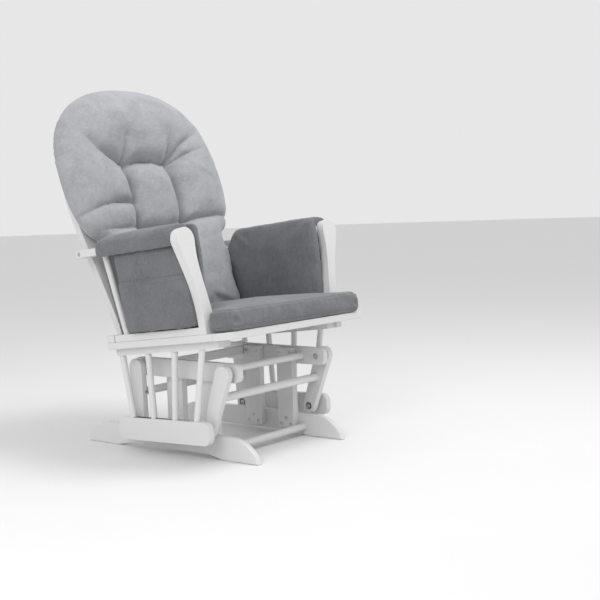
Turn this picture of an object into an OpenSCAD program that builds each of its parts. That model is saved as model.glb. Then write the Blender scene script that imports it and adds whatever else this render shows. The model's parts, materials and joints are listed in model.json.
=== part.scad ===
// Glider nursery chair: a fixed base, two pairs of swing arms, and a seat that hangs
// from them. The front faces -Y, the rear +Y, and +X is the sitter's left. The origin
// lies on the floor, under the middle of the chair's bounding box.

/* [Base] */
// Length of each runner, front to rear
runner_l = 640; // [560:5:760]
// Height of each runner at its ends' shoulders
runner_h = 62; // [54:1:80]
// Thickness of the runners and of the top rails
runner_t = 18; // [15:1:24]
// Clear width between the two runners
base_gap = 340; // [280:5:400]
// How far the runners' middle lies behind the origin
base_y = -13; // [-40:1:30]
// Height of the arch under each runner
arch_h = 10; // [6:1:16]
// Length of each flat foot under a runner
foot_l = 112; // [80:2:140]
// Width of each upright board
upright_w = 58; // [50:1:75]
// Thickness of each upright board
upright_t = 20; // [15:1:24]
// Distance between the middles of the front and rear uprights
upright_pitch = 122; // [100:1:150]
// Height of the top rails
top_rail_h = 49; // [44:1:60]
// How far the top rails run past their pivots
top_rail_end = 31; // [28:1:45]
// Diameter of the base's two cross dowels
base_dowel_d = 20; // [16:1:24]

/* [Linkage] */
// Height of the upper pivots above the floor
pivot_z = 230; // [215:1:260]
// Distance between the front and rear upper pivots
pivot_pitch = 316; // [290:1:350]
// How far the front upper pivot lies in front of the runners' middle
pivot_front = 235; // [210:1:260]
// Distance between the two pivots of a swing arm
swing_l = 160; // [145:1:175]
// Angle of the front swing arms from upright, at rest
front_lean = 20; // [14:0.5:24]
// Angle of the rear swing arms from upright, at rest
rear_lean = -3; // [-8:0.5:2]
// Thickness of the swing arms
swing_t = 19; // [17:0.5:22]
// Radius of a swing arm's upper end
swing_r_top = 24; // [20:1:28]
// Radius of a swing arm's lower end
swing_r_low = 19; // [17:1:24]
// Gap between a top rail and a swing arm
swing_gap = 13; // [8:1:20]
// Gap between a swing arm and its lower rail
lower_gap = 17; // [10:1:24]
// Diameter of the dowels that join the swing arms
swing_dowel_d = 22; // [18:1:26]
// Distance from the upper pivot down to the swing arms' dowel
swing_dowel_drop = 68; // [56:1:80]

/* [Seat frame] */
// Outer width of the seat frame
seat_w = 560; // [520:5:640]
// Distance from the back plane forward to the seat frame's front edge
seat_d = 442; // [400:2:480]
// How far the back plane lies behind the seat's reference point
back_s = 122; // [105:1:135]
// Tilt of the seat, front up
seat_tilt = 6.3; // [3:0.1:9]
// Distance of the seat's reference point behind the front lower pivot
seat_ref_y = 180; // [160:1:200]
// Height of the seat's reference point above the front lower pivot
seat_ref_z = 235; // [220:1:255]
// Thickness of the seat frame's boards
board_t = 19; // [17:0.5:22]
// Width of the seat frame's boards
rail_w = 55; // [45:1:65]
// Height of the lower side rails
lower_rail_h = 61; // [54:1:70]
// Thickness of the lower and upper side rails
side_rail_t = 20; // [19:0.5:24]
// Diameter of all the spindles
spindle_d = 17; // [14:0.5:18]
// Number of spindles in each side frame
side_spindles = 4; // [3:1:5]
// Number of slats under the seat cushion
deck_slats = 5; // [3:1:6]

/* [Arms] */
// Height of the arm boards' undersides above the seat frame
arm_t0 = 235; // [200:1:260]
// Thickness of the arm boards
arm_board_t = 20; // [18:1:24]
// Width of the arm boards
arm_board_w = 54; // [48:1:58]
// Distance of the arm boards' inner edges from the middle
arm_x = 262; // [258:1:300]
// Thickness of the curved front posts
post_t = 24; // [20:1:28]
// Distance from the seat frame's front edge back to the front posts
post_set = 72; // [60:1:90]
// Backward lean of the front posts
post_lean = 3.8; // [0:0.1:6]
// Number of spindles under each arm board
arm_spindles = 3; // [2:1:4]

/* [Back] */
// Recline of the back from the seat's square
recline = 11.2; // [8:0.1:16]
// Height of the hoop along the back
hoop_h = 706; // [640:2:760]
// Half width of the hoop at its widest
hoop_half_w = 280; // [250:1:283]
// Half width of the hoop at its feet
hoop_foot_half_w = 212; // [190:1:225]
// Width of the hoop's band
hoop_band = 42; // [34:1:50]
// Thickness of the hoop
hoop_t = 20; // [18:1:24]
// Number of upright slats in the back
back_slats = 5; // [3:1:6]

/* [Upholstery] */
// Thickness of the seat cushion
seat_cushion_t = 72; // [55:1:85]
// How far the seat cushion's front stands past the frame
cushion_nose = 8; // [2:1:14]
// Thickness of the back cushion
back_cushion_t = 86; // [70:1:90]
// Height of the back cushion's top above the hoop
back_cushion_over = 16; // [10:1:30]
// Half width of the back cushion at its widest
back_cushion_half_w = 308; // [280:1:318]
// Height of an arm pad
pad_h = 58; // [48:1:66]
// Thickness of the padded panel inside each arm
inner_panel_t = 24; // [16:1:30]
// Thickness of the cloth panel outside each arm
outer_panel_t = 8; // [5:1:10]
// Thickness of the pocket on each outer panel
pocket_t = 6; // [4:1:8]

/* [Hardware] */
// Diameter of the pivot bolts
bolt_d = 8; // [6:0.5:9]
// Outer diameter of the pivot bearings
bearing_d = 22; // [20:1:24]
// Width of the pivot bearings
bearing_w = 7; // [6:0.5:8]
// Running clearance between a pivot bolt and its bearing, on the diameter
run_fit = 0.1; // [0.04:0.02:0.2]
// Play round the bolt at the open rear lower pivot, on the diameter
open_play = 7; // [6:0.2:7.5]
// Diameter of the wood screws' heads
screw_head_d = 9; // [7:0.5:10]

/* [Hidden] */

$fn = 48;
fit = 0.1;                // play of a glued joint, on a diameter or a width
soft_gap = 0.6;           // gap between a soft piece and its neighbour
socket = 9;               // depth of a dowel's or spindle's socket
eps = 0.05;               // overrun of a cut

paint = "whitesmoke";
steel = "silver";
cloth = "slategray";

// Base
runner_x = base_gap / 2;
top_rail_x = runner_x;
upright_x = runner_x - upright_t;
pivot_front_y = base_y - pivot_front;
pivot_rear_y = pivot_front_y + pivot_pitch;
upright_mid_y = (pivot_front_y + pivot_rear_y) / 2;
upright_y = [upright_mid_y - upright_pitch / 2, upright_mid_y + upright_pitch / 2];
upright_z0 = arch_h + 12;
upright_z1 = pivot_z + top_rail_h / 2 - 3;
dowel_front_y = upright_y[0] - upright_w / 2 - base_dowel_d / 2 - 8;
lower_dowel_z = runner_h / 2 - 6;
crossbar_w = 18;
crossbar_h = 24;
crossbar_y = upright_y[1] + upright_w / 2 + 12;
screw_d = 4;
screw_l = upright_t + runner_t - 6;
screw_head_t = 3;

// Linkage
swing_x = top_rail_x + runner_t + swing_gap;
pocket_depth = swing_t - 5;
shoulder_d = bolt_d + 2;
head_d = bolt_d + 5;
head_t = 5;
rail_head_d = 17;
rail_head_t = 6;
front_low = [pivot_front_y + swing_l * sin(front_lean), pivot_z - swing_l * cos(front_lean)];
rear_low = [pivot_rear_y + swing_l * sin(rear_lean), pivot_z - swing_l * cos(rear_lean)];
coupler = rear_low - front_low;
coupler_l = norm(coupler);
coupler_a = atan2(coupler[1], coupler[0]);

// Seat frame
lower_rail_x = swing_x + swing_t + lower_gap;
side_mid_x = lower_rail_x + side_rail_t / 2;
seat_ref = [front_low[0] + seat_ref_y, front_low[1] + seat_ref_z];
half_w = seat_w / 2;
seat_s0 = back_s - seat_d;
cleat_lip = 22;           // how far a cleat reaches in under the slats
cleat_grip = 12;          // least width of a cleat under its side rail
rail_inner_x = min(half_w - rail_w, lower_rail_x - cleat_grip);
upper_rail_s0 = seat_s0 + 58;
bevel = tan(recline);
slat_t = 12;
slat_w = 46;
sill_w = 22;
sill_gap = 3;
rear_sill_w = 30;

// Arms
post_s = seat_s0 + post_set;
arm_mid_x = arm_x + arm_board_w / 2;
arm_top_t = arm_t0 + arm_board_t;
arm_rear_s = back_s + 52;
sill_mid_x = half_w - sill_w / 2;

// Upholstery
pad_t0 = arm_t0 - 9;
pad_x0 = arm_x - 11;
pad_x1 = arm_x + arm_board_w + 11;
pad_s1 = back_s - 42;
panel_a = atan2(arm_mid_x - sill_mid_x, arm_t0 - board_t);
panel_t0 = board_t + 5;
inner_x1 = pad_x0 - soft_gap;
inner_x0 = inner_x1 - inner_panel_t;
cushion_half = inner_x0 - 2;
cushion_t0 = 0.5;

// Helpers ---------------------------------------------------------------------

// A point of the seat's own frame (rearward s, upward t) as [Y, Z]
function seat_yz(s, t) = [
    seat_ref[0] + s * cos(seat_tilt) + t * sin(seat_tilt),
    seat_ref[1] - s * sin(seat_tilt) + t * cos(seat_tilt)
];
// A point of the lower rail's own frame (rearward u, upward v) as [Y, Z]
function rail_yz(u, v) = [
    front_low[0] + u * cos(coupler_a) - v * sin(coupler_a),
    front_low[1] + u * sin(coupler_a) + v * cos(coupler_a)
];
// Points of an arc, n steps
function arc(c, r, a0, a1, n = 8) = [
    for (i = [0:n]) c + r * [cos(a0 + (a1 - a0) * i / n), sin(a0 + (a1 - a0) * i / n)]
];
// Points of a cubic curve, without its last point
function curve(a, b, c, d, n = 10) = [
    for (i = [0:n - 1])
        let (u = i / n, v = 1 - u)
            v * v * v * a + 3 * v * v * u * b + 3 * v * u * u * c + u * u * u * d
];
// Outline of a rectangle from [x0, y0] to [x1, y1] with round corners
function round_rect(x0, y0, x1, y1, r) = concat(
    arc([x0 + r, y0 + r], r, 180, 270),
    arc([x1 - r, y0 + r], r, 270, 360),
    arc([x1 - r, y1 - r], r, 0, 90),
    arc([x0 + r, y1 - r], r, 90, 180)
);
// Outline of a tapered bar, round at both ends, hanging down from the origin
function taper_bar(l, r_top, r_low) =
    let (b = asin((r_top - r_low) / l))
        concat(arc([0, 0], r_top, -b, 180 + b, 20), arc([0, -l], r_low, 180 + b, 360 - b, 20));

// Mirrors its children to the sitter's right when side is -1
module on_side(side) {
    if (side < 0) mirror([1, 0, 0]) children();
    else children();
}
// A [Y, Z] outline made solid from x0 along +X
module slab(x0, thick) {
    translate([x0, 0, 0]) rotate([90, 0, 90]) linear_extrude(thick) children();
}
// A cylinder along +X from x0
module pin(x0, d, l) {
    translate([x0, 0, 0]) rotate([0, 90, 0]) cylinder(d = d, h = l);
}
// A cylinder between two points, run past both ends
module rod(p, q, d, past = 0) {
    v = q - p;
    l = norm(v);
    translate(p)
        rotate([0, acos(v[2] / l), atan2(v[1], v[0])])
            translate([0, 0, -past]) cylinder(d = d, h = l + 2 * past);
}
// Places children in the seat's own frame
module in_seat() {
    translate([0, seat_ref[0], seat_ref[1]]) rotate([-seat_tilt, 0, 0]) children();
}
// Places children in the lower rails' own frame
module in_lower_rail() {
    translate([0, front_low[0], front_low[1]]) rotate([coupler_a, 0, 0]) children();
}
// Places children on the back plane: X across, Y rearward from the plane, Z up the back
module in_back() {
    in_seat() translate([0, back_s, 0]) rotate([-recline, 0, 0]) children();
}
// Places children at a swing arm's upper pivot, Z along the arm
module in_front_swing() {
    translate([0, pivot_front_y, pivot_z]) rotate([front_lean, 0, 0]) children();
}
module in_rear_swing() {
    translate([0, pivot_rear_y, pivot_z]) rotate([rear_lean, 0, 0]) children();
}

// Base ------------------------------------------------------------------------

toe_l = 80;
toe_power = 1.6;
// Height of a runner's top edge at a distance u from its tip
function toe_z(u) = runner_h * pow(1 - pow(1 - u / toe_l, toe_power), 1 / toe_power);
function runner_outline() =
    let (h = runner_l / 2, n = 12, a = foot_l, b = foot_l + 70)
        concat(
            [for (i = [0:n]) [-h + toe_l * i / n, toe_z(toe_l * i / n)]],
            [for (i = [1:n - 1]) let (u = i / n)
                [-h + toe_l + u * (runner_l - 2 * toe_l), runner_h + 4 * sin(180 * u)]],
            [for (i = [n:-1:0]) [h - toe_l * i / n, toe_z(toe_l * i / n)]],
            [for (i = [0:8]) [h - a - (b - a) * i / 8, arch_h * (1 - cos(180 * i / 8)) / 2]],
            [for (i = [8:-1:0]) [-h + a + (b - a) * i / 8, arch_h * (1 - cos(180 * i / 8)) / 2]]
        );
// Places of an upright's screws, [Y, Z] from its middle: a triangle at each end
function upright_screw_spots() = concat(
    [for (p = [[-19, 0], [19, 0], [0, -16]]) [p[0], pivot_z + 8 + p[1]]],
    [for (p = [[-17, 0], [17, 0], [0, 17]]) [p[0], upright_z0 + 11 + p[1]]]
);
module screw_holes(d, depth, x0) {
    for (y = upright_y)
        for (p = upright_screw_spots())
            translate([0, y + p[0], p[1]]) pin(x0, d, depth);
}
module base_dowel_at(z) {
    translate([0, dowel_front_y, z]) children();
}
module runner(side) {
    color(paint) on_side(side) difference() {
        translate([0, base_y, 0]) slab(runner_x, runner_t) polygon(runner_outline());
        base_dowel_at(lower_dowel_z) pin(runner_x - eps, base_dowel_d + fit, socket + eps);
        screw_holes(screw_d + fit, screw_l - upright_t + 1, runner_x - eps);
    }
}
module upright(side, y) {
    color(paint) on_side(side) difference() {
        translate([upright_x, y - upright_w / 2, upright_z0])
            cube([upright_t, upright_w, upright_z1 - upright_z0]);
        for (p = upright_screw_spots())
            translate([0, y + p[0], p[1]]) {
                pin(upright_x - eps, screw_head_d + 0.6, screw_head_t + 1 + eps);
                pin(upright_x, screw_d + fit, upright_t + eps);
            }
    }
}
top_rail_r = 17;
module top_rail(side) {
    y0 = pivot_front_y - top_rail_end;
    y1 = pivot_rear_y + top_rail_end;
    z0 = pivot_z - top_rail_h / 2;
    z1 = pivot_z + top_rail_h / 2;
    color(paint) on_side(side) difference() {
        slab(top_rail_x, runner_t) polygon(round_rect(y0, z0, y1, z1, top_rail_r));
        for (y = [pivot_front_y, pivot_rear_y])
            translate([0, y, pivot_z]) {
                pin(top_rail_x - eps, bolt_d + fit, runner_t + 2 * eps);
                pin(top_rail_x - eps, rail_head_d + 1, rail_head_t + 1 + eps);
            }
        base_dowel_at(pivot_z) pin(top_rail_x - eps, base_dowel_d + fit, socket + eps);
        screw_holes(screw_d + fit, screw_l - upright_t + 1, top_rail_x - eps);
        crossbar_block(fit);
    }
}
module crossbar_block(grow) {
    l = 2 * (top_rail_x + socket + grow);
    translate([-l / 2, crossbar_y - (crossbar_w + grow) / 2, pivot_z - (crossbar_h + grow) / 2 + 6])
        cube([l, crossbar_w + grow, crossbar_h + grow]);
}
module cross_dowel(x, d) {
    pin(-x - socket + 0.5, d, 2 * (x + socket) - 1);
}
module upright_screws() {
    color(steel) for (side = [-1, 1]) on_side(side)
        for (y = upright_y)
            for (p = upright_screw_spots())
                translate([0, y + p[0], p[1]]) difference() {
                    union() {
                        pin(upright_x + 1, screw_head_d, screw_head_t);
                        pin(upright_x + 1, screw_d, screw_l - 1);
                    }
                    pin(upright_x + 1 - eps, 3, 1.5);
                }
}
module upper_pivot_bolts() {
    shank = runner_t - 1 + swing_gap + bearing_w + 3;
    color(steel) for (side = [-1, 1]) on_side(side)
        for (y = [pivot_front_y, pivot_rear_y])
            translate([0, y, pivot_z]) difference() {
                union() {
                    pin(top_rail_x + 1, rail_head_d, rail_head_t);
                    pin(top_rail_x + 1, bolt_d, shank);
                }
                pin(top_rail_x + 1 - eps, 7, 4);
            }
}
module spacer(x0, l) {
    difference() {
        pin(x0, bolt_d + 6, l);
        pin(x0 - eps, bolt_d + fit, l + 2 * eps);
    }
}
module upper_pivot_spacers() {
    color(steel) for (side = [-1, 1]) on_side(side)
        for (y = [pivot_front_y, pivot_rear_y])
            translate([0, y, pivot_z]) spacer(top_rail_x + runner_t, swing_gap - 0.5);
}

// Swing arms ------------------------------------------------------------------

dowel_grip = 10;
low_hole_x = swing_x + pocket_depth - bearing_w;
// One swing arm in its own frame; edge is -1 or 1 for the side that takes the dowel screw
module swing_arm(edge, low_play) {
    difference() {
        slab(swing_x, swing_t) polygon(taper_bar(swing_l, swing_r_top, swing_r_low));
        pin(swing_x - eps, bearing_d + fit, pocket_depth + eps);
        translate([0, 0, -swing_l]) {
            pin(swing_x - eps, bearing_d + fit, pocket_depth + eps);
            pin(swing_x, shoulder_d + low_play, swing_t + eps);
        }
        translate([0, 0, -swing_dowel_drop]) {
            pin(swing_x - eps, swing_dowel_d + fit, dowel_grip + eps);
            dowel_screw(edge, 0.6, 1);
        }
    }
}
// A screw from the arm's edge into its dowel
module dowel_screw(edge, grow, past) {
    half = swing_r_top - (swing_r_top - swing_r_low) * swing_dowel_drop / swing_l;
    translate([swing_x + dowel_grip / 2, 0, 0]) rotate([edge * -90, 0, 0]) {
        translate([0, 0, 3]) cylinder(d = screw_d - 0.5 + grow / 4, h = half - 3);
        translate([0, 0, half - 2 - screw_head_t])
            cylinder(d = screw_head_d - 1 + grow, h = screw_head_t + past * 6);
    }
}
module swing_dowel(edge) {
    color(paint) translate([0, 0, -swing_dowel_drop]) difference() {
        pin(-swing_x - dowel_grip + 0.5, swing_dowel_d, 2 * (swing_x + dowel_grip) - 1);
        for (side = [-1, 1]) on_side(side) dowel_screw(edge, 0.6, 1);
    }
}
module dowel_screws(edge) {
    color(steel) for (side = [-1, 1]) on_side(side)
        translate([0, 0, -swing_dowel_drop]) dowel_screw(edge, 0, 0);
}
module bearing(x0, play) {
    difference() {
        pin(x0, bearing_d, bearing_w);
        pin(x0 - eps, bolt_d + play, bearing_w + 2 * eps);
    }
}
module swing_bearings(low_play) {
    color(steel) for (side = [-1, 1]) on_side(side) {
        bearing(swing_x + 0.5, run_fit);
        translate([0, 0, -swing_l]) bearing(low_hole_x, low_play);
    }
}

// Lower side frames -----------------------------------------------------------

lower_rail_front = 39;    // how far a lower rail runs past its front pivot
lower_rail_rear = 42;     // how far it runs past its rear pivot
lower_rail_r = 20;
spindle_u0 = 9;
spindle_u_pitch = 78;
spindle_s0 = -195;
spindle_s_pitch = 99;
// Foot and head of side spindle i, where it meets the rails
function side_spindle(i) =
    let (f = side_spindles - 1,
        u = spindle_u0 + 3 * spindle_u_pitch * i / f,
        s = spindle_s0 + 3 * spindle_s_pitch * i / f,
        p = rail_yz(u, lower_rail_h / 2),
        q = seat_yz(s, -2 * board_t))
        [[side_mid_x, p[0], p[1]], [side_mid_x, q[0], q[1]]];
module side_spindle_rods(d, past) {
    for (i = [0:side_spindles - 1]) rod(side_spindle(i)[0], side_spindle(i)[1], d, past);
}
module lower_rail(side) {
    color(paint) on_side(side) difference() {
        in_lower_rail() difference() {
            slab(lower_rail_x, side_rail_t)
                polygon(round_rect(-lower_rail_front, -lower_rail_h / 2,
                    coupler_l + lower_rail_rear, lower_rail_h / 2, lower_rail_r));
            for (u = [0, coupler_l])
                translate([0, u, 0]) pin(lower_rail_x - eps, bolt_d + fit, side_rail_t - 5);
        }
        side_spindle_rods(spindle_d + fit, socket);
    }
}
module side_spindles_on(side) {
    color(paint) on_side(side) side_spindle_rods(spindle_d, socket - 0.5);
}
module upper_rail(side) {
    color(paint) on_side(side) difference() {
        in_seat() slab(lower_rail_x, side_rail_t + 2)
            polygon([
                [upper_rail_s0, -2 * board_t],
                [back_s - 4 - 2 * board_t * bevel, -2 * board_t],
                [back_s - 4 - board_t * bevel, -board_t],
                [upper_rail_s0, -board_t]
            ]);
        side_spindle_rods(spindle_d + fit, socket);
    }
}
module lower_pivot_bolts() {
    x0 = low_hole_x - 1 - head_t;
    color(steel) for (side = [-1, 1]) on_side(side) in_lower_rail()
        for (u = [0, coupler_l])
            translate([0, u, 0]) difference() {
                union() {
                    pin(x0, head_d, head_t);
                    pin(x0, bolt_d, lower_rail_x - x0 + side_rail_t - 6);
                }
                pin(x0 - eps, 5, 3);
            }
}
module lower_pivot_spacers() {
    color(steel) for (side = [-1, 1]) on_side(side) in_lower_rail()
        for (u = [0, coupler_l])
            translate([0, u, 0]) spacer(swing_x + swing_t + 0.5, lower_gap - 0.5);
}

// Seat frame ------------------------------------------------------------------

// Outline of a board whose rear end is cut along the back plane
function beveled(s0, t0, t1, short = 0) = [
    [s0, t0], [back_s - short + t0 * bevel, t0], [back_s - short + t1 * bevel, t1], [s0, t1]
];
leg_bolt_d = 6;
leg_bolt_x = hoop_foot_half_w - hoop_band / 2;
// Bolts that hold the hoop's legs to the seat frame's rear, in the back plane's frame
module leg_bolt(grow) {
    translate([0, 0, -board_t / 2]) rotate([-90, 0, 0]) {
        translate([0, 0, -34 - grow]) cylinder(d = leg_bolt_d + grow, h = 34 + hoop_t + grow - 3);
        translate([0, 0, hoop_t - 4 - grow / 2])
            cylinder(d = leg_bolt_d + 6 + 4 * grow, h = 3 + (grow > 0 ? 5 : 0));
    }
}
module leg_bolts(grow) {
    for (side = [-1, 1]) on_side(side) translate([leg_bolt_x, 0, 0]) leg_bolt(grow);
}
module seat_front_rail() {
    color(paint) in_seat()
        translate([-half_w, seat_s0, -board_t]) cube([seat_w, rail_w, board_t]);
}
module seat_side_rail(side) {
    color(paint) on_side(side) in_seat()
        slab(rail_inner_x, half_w - rail_inner_x)
            polygon(beveled(seat_s0 + rail_w, -board_t, 0));
}
module seat_rear_rail() {
    color(paint) difference() {
        in_seat() slab(-rail_inner_x, 2 * rail_inner_x)
            polygon(beveled(back_s - rail_w, -board_t, 0));
        in_back() leg_bolts(fit);
    }
}
module seat_cleat(side) {
    color(paint) on_side(side) in_seat()
        translate([rail_inner_x - cleat_lip, upper_rail_s0 + 8, -2 * board_t])
            cube([lower_rail_x - rail_inner_x + cleat_lip, back_s - upper_rail_s0 - 20, board_t]);
}
module seat_slats() {
    s_first = seat_s0 + rail_w + 8;
    s_last = back_s - rail_w - 10 - slat_w;
    color(paint) in_seat() for (i = [0:deck_slats - 1])
        translate([
            -rail_inner_x,
            s_first + (s_last - s_first) * i / (deck_slats - 1),
            -board_t
        ]) cube([2 * rail_inner_x, slat_w, slat_t]);
}
module arm_sill(side) {
    s1 = back_s - rear_sill_w - sill_gap;
    color(paint) on_side(side) difference() {
        in_seat() slab(half_w - sill_w, sill_w) polygon([
            [post_rear(0), 0], [s1, 0], [s1, board_t], [post_rear(board_t), board_t]
        ]);
        arm_spindle_rods(spindle_d + fit, socket);
    }
}
module rear_sill() {
    color(paint) in_seat() slab(-half_w, seat_w)
        polygon(beveled(back_s - rear_sill_w, 0, board_t, sill_gap));
}

// Arms ------------------------------------------------------------------------

// Face outline of a front post, [X, height], foot to scroll and back down
post_top = arm_top_t + 16;
post_out = arm_x + arm_board_w + 10;
post_in = arm_x + 3;
post_foot_in = half_w - 41;
post_neck = arm_t0;
function post_outline() = concat(
    curve([half_w, 0], [half_w - 8, 0.36 * post_top], [post_out - 28, 0.56 * post_top],
        [post_out, post_neck], 14),
    curve([post_out, post_neck], [post_out + 3, post_neck + 22], [post_out - 12, post_top],
        [post_out - 31, post_top], 10),
    curve([post_out - 31, post_top], [post_in + 14, post_top], [post_in + 1, post_top - 12],
        [post_in, post_neck + 4], 10),
    curve([post_in, post_neck + 4], [post_in + 9, 0.6 * post_top],
        [post_foot_in + 10, 0.42 * post_top], [post_foot_in, 0], 14),
    [[post_foot_in, 0]]
);
module arm_post(side) {
    color(paint) on_side(side) in_seat()
        translate([0, post_s + post_t, 0]) intersection() {
            rotate([90 - post_lean, 0, 0]) translate([0, -6, 0])
                linear_extrude(post_t) translate([0, 6]) polygon(concat(
                    [[post_foot_in, -6], [half_w, -6]], post_outline()));
            translate([0, -3 * post_t, 0]) cube([2 * half_w, 6 * post_t, 2 * post_top]);
        }
}
// Rear face of the post at height t, measured along the seat
function post_rear(t) = post_s + post_t + t * tan(post_lean);
module arm_board_block(grow) {
    x0 = arm_x - grow;
    x1 = arm_x + arm_board_w + grow;
    intersection() {
        slab(x0, x1 - x0) polygon([
            [post_rear(arm_t0), arm_t0 - grow],
            [arm_rear_s + grow, arm_t0 - grow],
            [arm_rear_s + grow, arm_top_t + grow],
            [post_rear(arm_top_t), arm_top_t + grow]
        ]);
        translate([0, 0, arm_t0 - 5]) linear_extrude(arm_board_t + 10)
            polygon(concat(
                [[x0, post_s], [x1, post_s]],
                arc([x1 - 16, arm_rear_s + grow - 16], 16, 0, 90),
                arc([x0 + 10, arm_rear_s + grow - 10], 10, 90, 180)
            ));
    }
}
arm_spindle_inset = 72;   // from the back plane to the rear spindle
arm_spindle_run = 200;    // from the front spindle to the rear one
arm_spindle_rake = 27;    // how far each spindle leans to the rear
// Foot and head of arm spindle i, where it meets the sill and the arm board
function arm_spindle(i) =
    let (f = arm_spindles - 1,
        s = back_s - arm_spindle_inset - (f - i) * arm_spindle_run / f,
        p = seat_yz(s, board_t),
        q = seat_yz(s + arm_spindle_rake, arm_t0))
        [[sill_mid_x, p[0], p[1]], [arm_mid_x, q[0], q[1]]];
module arm_spindle_rods(d, past) {
    for (i = [0:arm_spindles - 1]) rod(arm_spindle(i)[0], arm_spindle(i)[1], d, past);
}
module arm_board(side) {
    color(paint) on_side(side) difference() {
        in_seat() arm_board_block(0);
        arm_spindle_rods(spindle_d + fit, socket);
        arm_bolt(fit);
    }
}
module arm_spindles_on(side) {
    color(paint) on_side(side) arm_spindle_rods(spindle_d, socket - 0.5);
}

// Back ------------------------------------------------------------------------

hoop_shoulder = 0.58 * hoop_h;
hoop_arch = hoop_h - hoop_shoulder;
// Outline of a hoop that is inset from the outer one
function hoop_side(inset) = curve(
    [hoop_foot_half_w - inset, -board_t], [arm_x - 22 - inset, 0.84 * arm_t0],
    [arm_x + 10 - inset, 1.2 * arm_t0], [hoop_half_w - inset, hoop_shoulder], 14);
function hoop_top(inset) = arc_ellipse(hoop_half_w - inset, hoop_arch - inset, hoop_shoulder);
// Points of a half ellipse over height h; a power under 1 makes its shoulders fuller
function arc_ellipse(a, b, h, power = 1) = [for (i = [0:20]) let (c = cos(9 * i), s = sin(9 * i))
    [a * sign(c) * pow(abs(c), power), h + b * pow(s, power)]];
function mirrored(p) = [for (i = [len(p) - 1:-1:0]) [-p[i][0], p[i][1]]];
function hoop_outline(inset) = concat(hoop_side(inset), hoop_top(inset), mirrored(hoop_side(inset)));
back_rail_z = 62;
back_rail_h = 46;
back_slat_w = 44;
back_slat_t = 10;
back_slat_pitch = 80;
back_slat_y = hoop_t / 2 - back_slat_t / 2;
// Height of the hoop's inner edge at x
function hoop_inner_z(x) = hoop_shoulder
    + (hoop_arch - hoop_band) * sqrt(1 - pow(x / (hoop_half_w - hoop_band), 2));
// An upright outline [X, height] made solid from y0 rearward
module panel(y0, thick) {
    translate([0, y0 + thick, 0]) rotate([90, 0, 0]) linear_extrude(thick) children();
}
function back_slat_x(i) = (i - (back_slats - 1) / 2) * back_slat_pitch * 5 / back_slats;
module back_slat_blocks(grow) {
    for (i = [0:back_slats - 1]) {
        x = back_slat_x(i);
        z0 = back_rail_z + back_rail_h - socket - grow;
        z1 = hoop_inner_z(abs(x) + back_slat_w / 2) + socket + 3 + grow;
        translate([x - (back_slat_w + grow) / 2, back_slat_y - grow / 2, z0])
            cube([back_slat_w + grow, back_slat_t + grow, z1 - z0]);
    }
}
module back_rail_block(grow) {
    half = hoop_foot_half_w - hoop_band + 14;
    translate([-half - grow, 2 - grow / 2, back_rail_z - grow / 2])
        cube([2 * (half + grow), hoop_t - 4 + grow, back_rail_h + grow]);
}
module back_hoop() {
    color(paint) difference() {
        in_back() difference() {
            panel(0, hoop_t) difference() {
                polygon(hoop_outline(0));
                polygon(concat([[-hoop_foot_half_w + hoop_band, -2 * board_t]],
                    [[hoop_foot_half_w - hoop_band, -2 * board_t]], hoop_outline(hoop_band)));
            }
            leg_bolts(fit);
            back_rail_block(fit);
            back_slat_blocks(fit);
        }
        for (side = [-1, 1]) on_side(side) arm_bolt(fit);
    }
}
module back_lower_rail() {
    color(paint) in_back() difference() {
        back_rail_block(0);
        back_slat_blocks(fit);
    }
}
module back_slat_set() {
    color(paint) in_back() back_slat_blocks(0);
}
// A bolt through the rear of an arm board into the hoop's leg
arm_bolt_s = arm_rear_s - 24;
arm_bolt_in = 24;
module arm_bolt(grow) {
    p = seat_yz(arm_bolt_s, arm_t0 + arm_board_t / 2);
    x1 = arm_x + arm_board_w;
    translate([0, p[0], p[1]]) {
        pin(arm_x - arm_bolt_in - grow, leg_bolt_d + grow, arm_bolt_in + arm_board_w - 5 + grow);
        pin(x1 - 5, leg_bolt_d + 5 + 4 * grow, 4 + (grow > 0 ? 3 : 0));
    }
}
module back_bolts() {
    color(steel) {
        in_back() leg_bolts(0);
        for (side = [-1, 1]) on_side(side) arm_bolt(0);
    }
}

// Upholstery ------------------------------------------------------------------

module seat_cushion() {
    front_s = seat_s0 - cushion_nose;
    ear_s = post_s - 2;
    rear_s = back_s - back_cushion_t - 6;
    ear_x = half_w - 4;
    ear_r = 20;
    color(cloth) in_seat() translate([0, 0, cushion_t0]) linear_extrude(seat_cushion_t)
        polygon(concat(
            [[cushion_half, rear_s], [-cushion_half, rear_s], [-cushion_half, ear_s], [-ear_x, ear_s]],
            arc([-ear_x + ear_r, front_s + ear_r], ear_r, 180, 270),
            arc([ear_x - ear_r, front_s + ear_r], ear_r, 270, 360),
            [[ear_x, ear_s], [cushion_half, ear_s]]
        ));
}
cushion_top = hoop_h + back_cushion_over;
cushion_waist = (arm_top_t + 14) / cos(recline);
cushion_shoulder = 0.62 * cushion_top;
arch_power = 2 / 2.35;
function back_cushion_side() = concat(
    [[cushion_half - 1, board_t + 12], [cushion_half + 1, cushion_waist - 40]],
    curve([cushion_half + 4, cushion_waist - 6], [back_cushion_half_w - 18, cushion_waist + 8],
        [back_cushion_half_w, cushion_waist + 90], [back_cushion_half_w, cushion_shoulder], 10)
);
module back_cushion() {
    arch = cushion_top - cushion_shoulder;
    color(cloth) in_back() panel(-back_cushion_t - soft_gap, back_cushion_t)
        polygon(concat(
            back_cushion_side(),
            arc_ellipse(back_cushion_half_w, arch, cushion_shoulder, arch_power),
            mirrored(back_cushion_side())
        ));
}
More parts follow.
